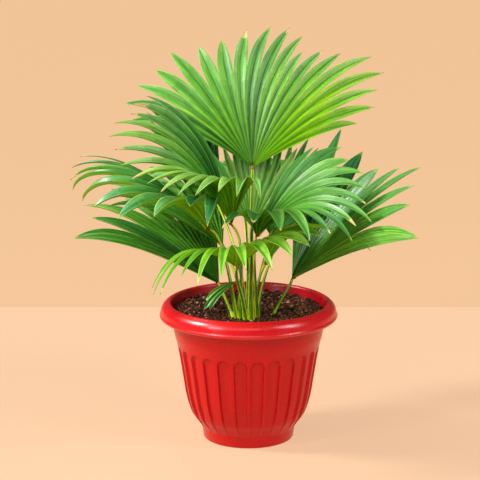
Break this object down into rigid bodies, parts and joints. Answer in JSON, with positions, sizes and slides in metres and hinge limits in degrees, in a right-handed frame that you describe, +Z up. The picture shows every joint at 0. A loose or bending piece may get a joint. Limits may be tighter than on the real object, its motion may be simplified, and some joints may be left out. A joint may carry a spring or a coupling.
{
  "type": "potted fan palm",
  "caption": "Young fan palm with arching pleated fronds on slender petioles, growing in a round fluted pot with a rolled rim.",
  "frame": {"origin": "centre of the pot's flat underside", "axes": "+Z up along the pot's axis, -Y towards the front of the plant, +X to its right"},
  "size_m": [0.3819, 0.3968, 0.4534],
  "materials": {
    "pot_plastic": "glossy moulded plastic",
    "soil": "dark crumbly potting soil",
    "blade": "smooth, slightly waxy leaf",
    "petiole": "smooth green stalk"
  },
  "bodies": {
    "root": {"pot": "pot_plastic", "soil": "soil", "petiole_top": "petiole", "frond_top": "blade", "petiole_upper_left": "petiole", "frond_upper_left": "blade", "petiole_left": "petiole", "frond_left": "blade", "petiole_low_left": "petiole", "frond_low_left": "blade", "petiole_low_right": "petiole", "frond_low_right": "blade", "petiole_right": "petiole", "frond_right": "blade", "petiole_front": "petiole", "frond_front": "blade", "petiole_mid_right": "petiole", "frond_mid_right": "blade", "petiole_back_left": "petiole", "frond_back_left": "blade", "petiole_centre_back": "petiole", "frond_centre_back": "blade", "petiole_back_right": "petiole", "frond_back_right": "blade", "petiole_rear_left": "petiole", "frond_rear_left": "blade", "petiole_rear_right": "petiole", "frond_rear_right": "blade", "petiole_rear": "petiole", "frond_rear": "blade", "petiole_young": "petiole", "frond_young": "blade"}
  },
  "joints": []
}
